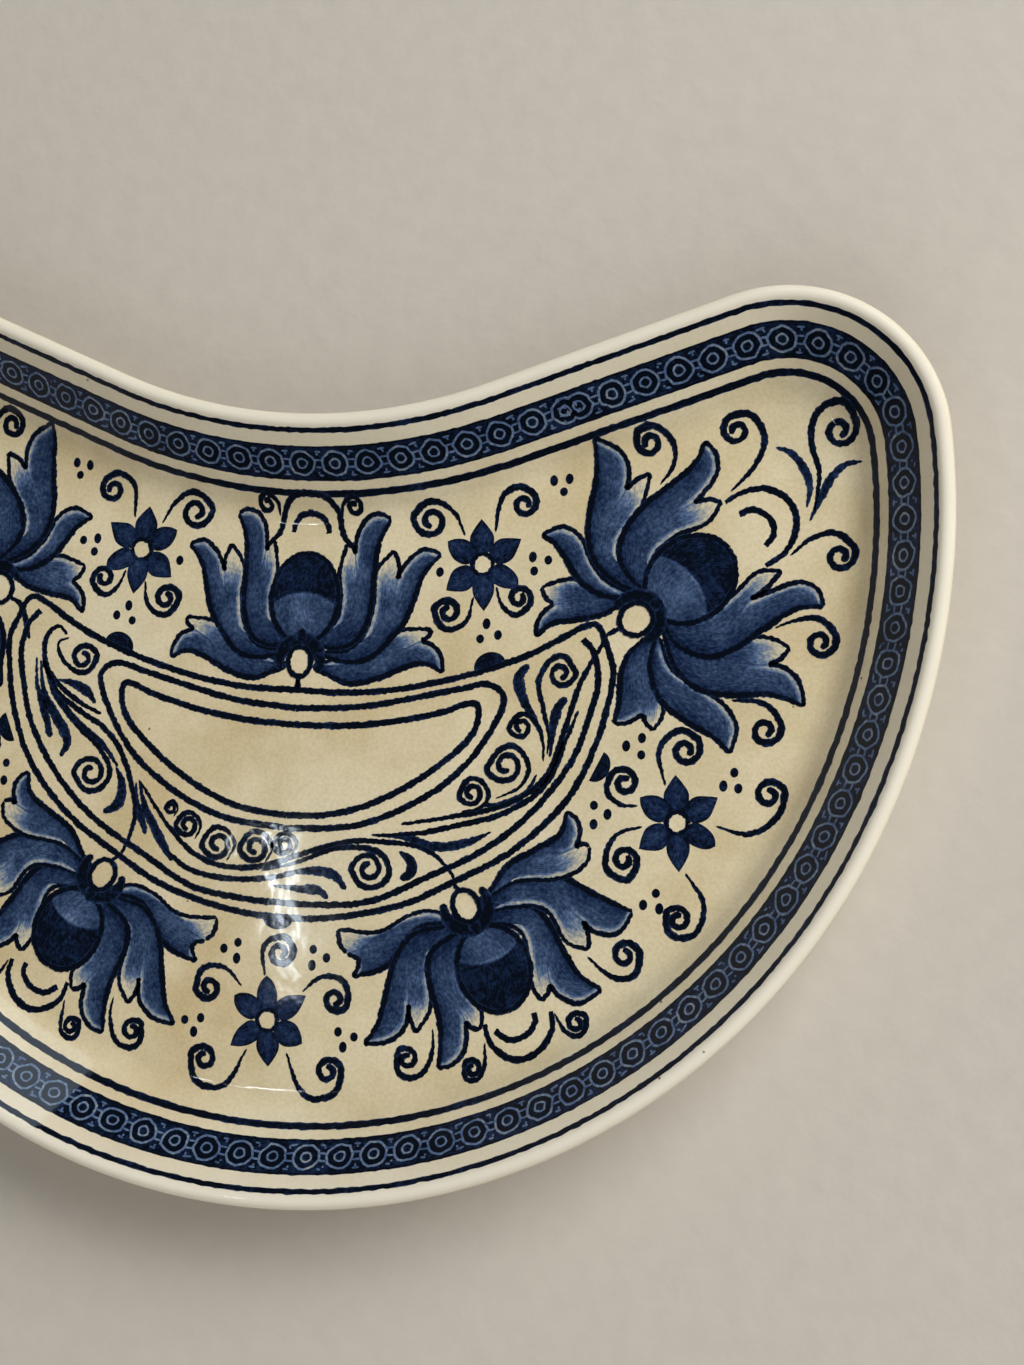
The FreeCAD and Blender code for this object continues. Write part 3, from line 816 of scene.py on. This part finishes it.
for word, side in (("right", 1), ("left", -1)):
    blossom(word + "_horn_blossom", (side,), HORN_PETALS, ((81.3, 37.3), 9.8, 8.4, 42, 0.1),
            ((70.9, 28.7), 3.5, 3.3, 40), HORN_HOOPS, (((68.3, 27), (65.3, 25.2)),),
            ((73.6, 31.2), (75.9, 32.8)))

BELLY_PETALS = (
    (((38.2, -34.8), (33, -33.4), (28.3, -34.7), (22, -38.6), (13.3, -38.8)), (15.6, -43.6),
     ((18.3, -44.9),),
     ((38.4, -35.4), (31, -36.8), (27.5, -41), (24, -45.6), (17.2, -48.3))),
    (((38.6, -36.8), (33.9, -41.6), (33.7, -47), (34.2, -53.5), (31.7, -58.4)), (29.7, -52.6),
     ((29.2, -57.4), (26, -60.6)),
     ((37.8, -36), (29.6, -38.4), (26.2, -43.5), (24.6, -51.5), (23.4, -57.4), (20.8, -61.7))),
    (((40.5, -37.6), (40.5, -44.7), (42.2, -49.4), (45, -52.8), (45, -56.5)), (41.9, -54.8),
     ((42.2, -60.2), (40, -63.8)),
     ((39.2, -37.2), (33.7, -41.6), (33.3, -46.5), (36.2, -54.5), (37.1, -60), (36.8, -65))),
    (((44, -35), (51.4, -35.6), (53.9, -41.4), (55, -46.4), (57.2, -49.5)), (58.6, -45.8),
     ((60.6, -48), (65, -49.2)),
     ((43.5, -33.6), (51.3, -30.4), (56, -32.2), (61, -39.1), (64.5, -43.6), (69.3, -46.1))),
    (((43.4, -33.2), (50, -31.2), (56.7, -31.3), (61.4, -37.2), (66.1, -38.4)), (64.2, -32.8),
     ((67.5, -34.9), (72, -34.4)),
     ((42.8, -31.6), (46.7, -28.3), (51.6, -25), (58.5, -24.2), (66.7, -27.4), (74.4, -30.2))),
    (((43, -31), (50, -26.2), (59.4, -24.6), (64.2, -21.4), (64.8, -17.8)), (61.8, -18.4),
     ((62.6, -15.4), (61.7, -12.6)),
     ((42.4, -30.4), (44.6, -28.6), (48.4, -22.8), (53.8, -19.2), (58.6, -15.6), (59.5, -11))),
)
BELLY_HOOPS = (
    (((45.8, -55.2), (47.6, -59.2), (52.6, -61.6), (57.4, -59.4), (59.8, -54.8), (59.2, -51.3)),
     (0.9, 1.2, 1.2, 1.2, 0.9)),
    (((48.1, -56.3), (51.1, -57.8), (54.6, -56.5), (56.3, -53.7), (55.8, -51.9)),
     (1.2, 1.2, 1.2, 1.0)),
)
for word, side in (("right", 1), ("left", -1)):
    blossom(word + "_belly_blossom", (side,), BELLY_PETALS, ((46.9, -43.8), 8.9, 7.5, -66, -0.15),
            ((40.1, -31.8), 3.4, 2.7, -62), BELLY_HOOPS, (((38.9, -29.2), (36.9, -27.4)),),
            ((41.7, -34.6), (43.2, -37.4)))

# ------------------------------------------------------------------------------------------
# Stars: five small flowers of six petals, dark blue round a bare middle. Each petal is a filled
# blade of ink, and a ragged ring is drawn round the middle over them.
# ------------------------------------------------------------------------------------------
STAR_ROOT, STAR_RING, STAR_REACH = 1.95, 2.25, 9.4
STAR_PLACES = {"right_top_star": (38, 38.5, 1), "left_top_star": (38, 38.5, -1),
               "belly_star": (-0.4, -58.8, 1), "right_side_star": (82.1, -11.8, 1),
               "left_side_star": (82.1, -11.8, -1)}
STAR_TURNS = (96, 36, -27, -84, 218, 150)


def star(name, x, y, side):
    bm, middle = new_print(), Vector((x, y))
    for count, turn in enumerate(STAR_TURNS):
        reach = STAR_REACH + 0.5 * sin(count * 2.3 + x)
        bow = 2.4 + 0.25 * sin(count * 1.7 + y)
        angle = radians(turn)
        way, across_way = Vector((cos(angle), sin(angle))), Vector((-sin(angle), cos(angle)))
        base, tip = middle + way * STAR_ROOT, middle + way * reach
        flanks = [PenLine([base, middle + way * 2.9 + across_way * sign * 1.9,
                           middle + way * 5.6 + across_way * sign * bow,
                           middle + way * 7.9 + across_way * sign * 1.35, tip]) for sign in (1, -1)]

        def shade(part, share, _):
            return 0.84 + 0.14 * abs(2 * share - 1) - 0.1 * sin(pi * part)

        blade(bm, *flanks, shade, 0.004 * count, side)
    ring = [(x + STAR_RING * cos(2 * pi * step / 12), y + STAR_RING * sin(2 * pi * step / 12))
            for step in range(13)]
    stroke(bm, PenLine(ring), (1.1, 1.1), 0.95, 0.03, side, closed=True)
    finish_print(name, bm, blue_print)


for star_name, (star_x, star_y, star_side) in STAR_PLACES.items():
    star(star_name, star_x, star_y, star_side)

# ------------------------------------------------------------------------------------------
# Scrolls: curled tendrils round the blossoms and stars. Each is one pen stroke that winds in
# from a thin tail to a fat round end.
# ------------------------------------------------------------------------------------------
CURL_TIGHTEN = 0.15


def curl_line(centre, *tail):
    """A spiral from its middle out to the first tail point, then on along the tail to its tip."""
    centre, first, second = Vector(centre), Vector(tail[0]), Vector(tail[1])
    reach = first - centre
    turn_way = 1 if reach.cross(second - first) > 0 else -1
    start, radius = atan2(reach.y, reach.x), reach.length
    wound = log(radius / (0.25 * radius + 0.12)) / CURL_TIGHTEN
    count = ceil(wound * 1.5)
    curl = []
    for step in range(count):
        back = wound * (1 - step / count)
        angle = start - turn_way * back
        curl.append(centre + radius * exp(-CURL_TIGHTEN * back) * Vector((cos(angle), sin(angle))))
    return PenLine(curl + [Vector(spot) for spot in tail])


def scroll(bm, side, weight, *points):
    radius = (Vector(points[1]) - Vector(points[0])).length
    weight *= min(1, 0.4 + 0.2 * radius)
    widths = [part * weight for part in (1.5, 1.35, 1.5, 1.55, 1.4, 1.05, 0.4)]
    stroke(bm, curl_line(*points), widths, 0.98, 0.02, side)


TOP_SCROLLS = (
    ((9.6, 49.2), (9.3, 51.2), (7.3, 49.6), (6.9, 46.8)),
    ((26.3, 47.2), (22.6, 48.4), (26.5, 51.2), (31.0, 49.2), (33.8, 44.3)),
    ((45.8, 51.4), (47.3, 54.0), (44.3, 54.9), (41.0, 52.4), (40.2, 45.3)),
    ((31.4, 28.2), (28.4, 28.4), (31.0, 24.7), (35.2, 26.3), (36.6, 31.8)),
    ((46.2, 31.9), (48.6, 30.6), (45.8, 28.3), (42.8, 30.2), (41.2, 34.0)),
)
HORN_SCROLLS = (
    ((71.2, 65.0), (69.0, 67.1), (72.4, 68.1), (76.2, 64.7), (76.2, 60.2), (73.8, 56.4)),
    ((88.7, 68.0), (87.5, 71.0), (91.5, 71.2), (94.4, 66.3), (92.4, 60.4), (88.2, 55.4)),
    ((110.8, 43.3), (113.2, 45.6), (109.5, 47.9), (105.0, 46.6), (101.0, 43.0)),
    ((108.0, 25.9), (110.9, 27.6), (107.8, 30.5), (103.3, 30.2), (98.9, 28.3)),
    ((98.3, 7.8), (101.2, 9.7), (97.9, 13.0), (91.2, 13.4)),
    ((82.7, 2.8), (84.8, 5.4), (81.1, 6.7), (77.5, 2.4), (79.2, -4.6)),
    ((70.9, -4.6), (68.3, -2.8), (67.4, -6.4), (70.2, -8.9), (74.0, -9.0)),
    ((99.9, -5.0), (103.1, -4.4), (101.6, -9.6), (96.5, -12.9), (89.8, -11.9)),
    ((109.2, 68.6), (112.4, 70.2), (109.4, 74.1), (104.6, 72.2), (103.7, 66.4), (105.7, 60.0),
     (105.2, 52.0)),
)
BELLY_SCROLLS = (
    ((73.4, -38.9), (76.4, -38.4), (75.6, -42.6), (71.4, -43.4), (65.8, -39.8)),
    ((64.6, -53.1), (66.6, -51.9), (65.8, -55.4), (62.6, -55.0), (59.9, -51.5)),
    ((44.1, -64.3), (42.4, -63.2), (43.2, -66.5), (46.2, -65.2), (46.2, -58.8)),
    ((30.2, -63.8), (28.3, -62.2), (28.9, -66.8), (33.2, -66.7), (35.4, -61.8), (35.1, -57.1)),
    ((13.9, -53.2), (16.7, -53.8), (15.4, -49.4), (10.6, -48.9), (6.6, -52.4)),
    ((13.6, -68.0), (16.5, -67.3), (14.9, -72.6), (8.8, -73.0), (4.3, -65.0)),
    ((71.9, -20.0), (74.2, -21.9), (72.4, -24.0), (68.3, -21.4), (69.8, -15.3), (75.2, -13.0)),
    ((83.6, -31.0), (81.2, -29.6), (82.4, -34.0), (87.2, -33.4), (88.4, -27.4), (84.4, -21.6)),
)
for scroll_name, curls in (("hollow_scrolls", TOP_SCROLLS), ("horn_scrolls", HORN_SCROLLS),
                           ("belly_scrolls", BELLY_SCROLLS)):
    for word, side in (("right", 1), ("left", -1)):
        scrolls = new_print()
        for curl in curls:
            scroll(scrolls, side, 1.0, *curl)
        finish_print(word + "_" + scroll_name, scrolls, blue_print)
lone_scroll = new_print()
scroll(lone_scroll, 1, 1.0, (1.1, -44.7), (3.9, -43.6), (1.6, -41.4), (-2.4, -43.6), (-1.8, -49.8))
finish_print("belly_middle_scroll", lone_scroll, blue_print)

# ------------------------------------------------------------------------------------------
# Sprigs: a pair of thin leaves at the foot of each horn's tallest scroll, and the half-round
# buds that sit on the crescent's outer line.
# ------------------------------------------------------------------------------------------
SPRIG_LEAVES = (((103.7, 52.7), (104, 57.3), (102.2, 61.3), (99.6, 64), (96.7, 64.8)),
                ((104.4, 50.0), (106.4, 55), (108.4, 59.4), (111, 61.8), (114.2, 62.2)))
LEAF_WIDTHS = (0.4, 1.3, 1.9, 1.5, 0.4)
LINE_BUDS = ((41.3, 17.3, 20, 1, 3.5, 3.1), (64.9, -1.6, 66, -1, 3.3, 2.8), (0, -37.6, 0, -1, 3.3, 2.4))
sprigs = new_print()
for side in (1, -1):
    for leaf in SPRIG_LEAVES:
        stroke(sprigs, PenLine(leaf), LEAF_WIDTHS, 0.86, 0.02, side)
    for x, y, turn, bulge_side, half_long, height in LINE_BUDS:
        base, along = Vector((x, y)), Vector((cos(radians(turn)), sin(radians(turn))))
        out = bulge_side * Vector((-along.y, along.x))
        dome = PenLine([base - along * half_long * cos(pi * step / 8) + out * height * sin(pi * step / 8)
                        for step in range(9)])
        flat = PenLine([base - along * half_long, base + along * half_long])
        blade(sprigs, dome, flat, lambda *_: 0.93, 0.01, side)
finish_print("sprigs_and_buds", sprigs, blue_print)

# ------------------------------------------------------------------------------------------
# Dots: groups of three round dabs of ink between the scrolls, and one single dab on each side.
# Each is about 2 mm across, and they are all alike, so they are one piece.
# ------------------------------------------------------------------------------------------
DOT_PLACES = ((29, 36.5), (48.5, 40.5), (51.8, 40), (49, 37.6), (39.8, 26.2), (42.4, 24), (38.7, 23),
              (51.8, 56.5), (55, 57), (54, 54.3), (73.8, 4.7), (70.7, 2.9), (73.9, 1.3), (92.8, -1),
              (90.8, -3.8), (93.8, -4.1), (65, -9.5), (67.9, -11.1), (65.2, -13.3), (78.8, -26.1),
              (76.4, -28.6), (79.7, -29.1), (8.3, -43.4), (11.3, -44.9), (8.3, -46.7), (15.1, -59.7),
              (18.6, -60.4), (16.4, -62.7))
dots = new_print()
for side in (1, -1):
    for number, (x, y) in enumerate(DOT_PLACES):
        tall = 1.05 + 0.12 * sin(number * 1.9)
        halves = [PenLine([(x + wide * sin(pi * step / 6), y - tall * cos(pi * step / 6))
                           for step in range(7)]) for wide in (-0.85, 0.85)]
        blade(dots, *halves, lambda part, share, _: BLACK - 0.1 * abs(2 * share - 1), 0.01, side)
finish_print("dots", dots, blue_print)

# ------------------------------------------------------------------------------------------
# Feather-work: curled leaves and fine scrolls that fill the crescent round the bare panel. The
# right half and the left half are drawn differently.
# ------------------------------------------------------------------------------------------
FEATHER_CURLS = (
    ((56.2, 16.8), (59.2, 17.2), (55.8, 20.4), (51.8, 15.6), (52.9, 9.9), (54.6, 4.0), (54.6, 0.0)),
    ((48.7, 5.4), (46.3, 4.9), (48.6, 8.0), (51.6, 6.6), (53.4, 3.0), (53.9, -1.5)),
    ((46.2, -2.6), (42.3, -3.4), (46.6, 1.4), (50.8, -2.0), (49.6, -6.6), (44.5, -9.6)),
    ((39.5, -8.8), (36.8, -9.4), (39.2, -5.8), (42.9, -8.2), (41.8, -11.4), (37.5, -12.8)),
    ((18.8, -26.0), (15.2, -26.6), (18.6, -29.8), (23.0, -27.4), (21.6, -22.9), (16.2, -21.7),
     (10.3, -22.6), (3.7, -25.6), (-4.7, -28.2)),
    ((-49.3, 14.3), (-46.1, 14.8), (-48.6, 11.1), (-53.2, 12.9), (-55.4, 17.0), (-52.9, 18.6)),
    ((-45.0, -10.4), (-48.9, -10.8), (-44.9, -14.3), (-40.7, -10.8), (-43.0, -5.6), (-48.6, -1.0),
     (-53.6, 4.0)),
    ((-25.9, -16.4), (-27.2, -16.6), (-25.9, -15.0), (-24.4, -16.2), (-25.2, -18.4)),
    ((-21.8, -19.8), (-24.5, -19.9), (-22.0, -17.1), (-18.9, -19.4), (-20.0, -22.8)),
    ((-14.7, -23.3), (-18.2, -23.4), (-15.2, -19.8), (-11.0, -22.6), (-12.4, -26.8)),
    ((-6.3, -23.4), (-9.7, -23.6), (-6.6, -20.0), (-2.7, -22.8), (-4.0, -26.8)),
    ((-0.1, -22.3), (-2.4, -22.4), (-0.2, -19.9), (2.7, -21.8), (1.6, -24.8)),
)
FEATHER_STEMS = (
    ((67, 26.6), (65.3, 25.3), (63.7, 22), (61.2, 17), (59.5, 12), (57.8, 5.3), (54.5, -4.7), (47, -10.5),
     (36.2, -13.8), (24.9, -16.3)),
    ((60.4, 9.5), (58.7, 4.5), (54.5, -6.3), (46.2, -12.6), (38.7, -15.1), (29.0, -17.8), (19.5, -19.0)),
    ((37.8, -27.6), (35.8, -24.7), (32.8, -22.2), (28.7, -20.5), (22.8, -20.2), (14.5, -20.6), (5.3, -23.5),
     (-2.0, -26.4), (-8.0, -27.8), (-14.7, -27.6), (-20.5, -25.3), (-25.5, -21.0), (-29.4, -16.6),
     (-33.6, -11.2)),
    ((-67, 26.6), (-65.3, 25.3), (-63.7, 22), (-62.4, 17.6)),
    ((-53.4, 19.2), (-55.9, 20.9), (-58.2, 18.7), (-58.4, 14.9), (-57.2, 11.2), (-53.8, 7.8),
     (-48.8, 4.5), (-43.8, 2.4)),
    ((-36.8, -28.0), (-34.7, -23.0), (-34.0, -18.0), (-35.1, -13.0), (-38.8, -4.9), (-43.0, -0.5),
     (-48.8, 2.8), (-54.8, 7.0), (-58.8, 13.2)),
    ((-27.2, -24.6), (-21.3, -28.8), (-14.7, -30.2), (-8.0, -30.2), (-1.3, -29.2), (6.2, -26.8)),
)
STEM_WIDTHS = (0.7, 1.25, 1.3, 1.25, 0.7)
FEATHER_LEAVES = (
    (((49.4, 18.3), (47.5, 15.6), (48.6, 11.4), (51.2, 7.4), (53.6, 3.0)), (1.2, 2.6, 2.0, 1.2, 0.5)),
    (((57.8, 12.0), (56.0, 9.4), (55.4, 5.3), (55.2, -0.5)), (1.4, 2.4, 1.2, 0.5)),
    (((18.7, -18.9), (26.2, -18.9), (32, -20.3), (38.7, -19.2), (44.2, -16.4)), (0.5, 1.2, 2.1, 2.0, 0.4)),
    (((24.9, -21.9), (27.6, -23.6), (27.8, -26.0), (25.6, -27.5)), (0.5, 2.0, 2.6, 1.0)),
    (((0.2, -28.3), (6.2, -27.4), (11.2, -27.7), (14.3, -30.6)), (0.5, 1.5, 2.4, 0.9)),
    (((-1.8, -31.0), (4.0, -31.2), (8.4, -31.3), (10.6, -32.8)), (0.5, 1.2, 2.2, 0.9)),
    (((52.8, -4.0), (50.6, -8.0), (45.6, -10.8), (41.4, -11.2)), (0.4, 1.2, 1.6, 0.6)),
    (((-60.2, 14.0), (-59.4, 7.8), (-56.8, 1.2), (-55.2, -3.4)), (0.4, 1.0, 1.8, 1.4)),
    (((-59.2, 13.4), (-57.6, 6.2), (-53.8, 0.5), (-51.2, -3.8), (-52.4, -7.4)), (0.4, 1.2, 2.2, 2.6, 0.9)),
    (((-58.2, 12.6), (-55.2, 6.4), (-49.6, 0.6), (-43.5, -3.6), (-38.8, -8.6)), (0.4, 1.6, 1.8, 1.4, 0.6)),
    (((-54.6, 9.4), (-51.0, 8.6), (-47.8, 7.2), (-45.4, 4.6)), (0.4, 1.8, 2.3, 0.8)),
    (((-39.4, -8.6), (-37.6, -12.4), (-38.2, -16.6), (-41.4, -18.6)), (0.5, 1.9, 2.6, 1.0)),
    (((-34.4, -11.6), (-33.9, -15.6), (-32.4, -19.2), (-31.2, -22.6)), (0.4, 1.3, 2.0, 0.9)),
    (((-33.8, -11.0), (-31.8, -16.8), (-28.4, -22.2), (-24.6, -27.7)), (0.4, 1.6, 2.3, 1.0)),
)
feathers = new_print()
for curl in FEATHER_CURLS:
    scroll(feathers, 1, 0.9, *curl)
for stem in FEATHER_STEMS:
    stroke(feathers, PenLine(stem), STEM_WIDTHS, BLACK, 0.016)
for leaf, widths in FEATHER_LEAVES:
    stroke(feathers, PenLine(leaf), widths, 0.9, 0.012)
finish_print("feather_work", feathers, blue_print)

# ------------------------------------------------------------------------------------------
# Table and light: a plain pale table top and a pale room. A soft window lights the dish from the
# right. Its panes and a narrow side window are what shines back from the glaze: the narrow one
# draws the streak down the well. The weak fill on the near side has no reflection.
# ------------------------------------------------------------------------------------------
TABLE_COLOUR, TABLE_SHADE = (0.62, 0.585, 0.53), (0.595, 0.562, 0.509)
TABLE_REACH = 1.4
table_bm = bmesh.new()
bmesh.ops.create_grid(table_bm, x_segments=1, y_segments=1, size=TABLE_REACH)
table_mesh = bpy.data.meshes.new("table_top")
table_bm.to_mesh(table_mesh)
table_bm.free()
paint = new_material("pale_paint")
paint_spot = add_node(paint, "TexCoord").outputs["Object"]
paint_grain = grain(paint, paint_spot, 180.0, 4.0)
paint_bump = add_node(paint, "Bump", {"Height": paint_grain, "Strength": 0.35, "Distance": 0.6 * MM})
finish_material(paint, ramp(paint, paint_grain, (0.3, TABLE_SHADE), (0.7, TABLE_COLOUR)),
                paint_bump.outputs["Normal"], remap(paint, paint_grain, 0.0, 1.0, 0.6, 0.8))
table_mesh.materials.append(paint)
table = bpy.data.objects.new("table_top", table_mesh)
bpy.context.scene.collection.objects.link(table)


def window_light(name, place, target, width, height, power, colour):
    """A soft rectangular light that faces a target."""
    lamp = bpy.data.lights.new(name, "AREA")
    lamp.shape = "RECTANGLE"
    lamp.size, lamp.size_y = width, height
    lamp.energy, lamp.color = power, colour
    window = bpy.data.objects.new(name, lamp)
    window.location = place
    window.rotation_euler = (Vector(target) - Vector(place)).to_track_quat("-Z", "Y").to_euler()
    bpy.context.scene.collection.objects.link(window)
    return window


soft_window = window_light("soft_window", (0.95, 0.80, 0.92), (0.03, 0, 0), 1.2, 0.8, 24,
                           (1.0, 0.98, 0.94))
soft_window.visible_glossy = False
panes = window_light("window_panes", (0.30, 1.10, 0.78), (0.03, 0, 0), 0.9, 0.5, 2.6, (0.72, 0.86, 1.0))
panes.visible_diffuse = False
room_fill = window_light("room_fill", (0.10, -0.9, 0.95), (0, 0, 0), 1.2, 1.2, 7.0, (1.0, 0.96, 0.90))
room_fill.visible_glossy = False
window_light("narrow_window", (-0.42, -0.10, 1.2), (0, 0, 0), 0.13, 0.014, 0.15, (0.78, 0.89, 1.0))
room = bpy.data.worlds.new("room")
room.use_nodes = True
sky_way = add_node(room, "TexCoord").outputs["Generated"]
sky_height = add_node(room, "SeparateXYZ", {"Vector": sky_way}).outputs["Z"]
sky = ramp(room, remap(room, sky_height, 0.0, 0.5), (0.0, (0.46, 0.44, 0.41)), (0.2, (0.40, 0.38, 0.35)),
           (0.6, (0.04, 0.04, 0.04)), (1.0, (0.03, 0.03, 0.03)))
room.node_tree.links.new(sky, room.node_tree.nodes["Background"].inputs["Color"])
bpy.context.scene.world = room
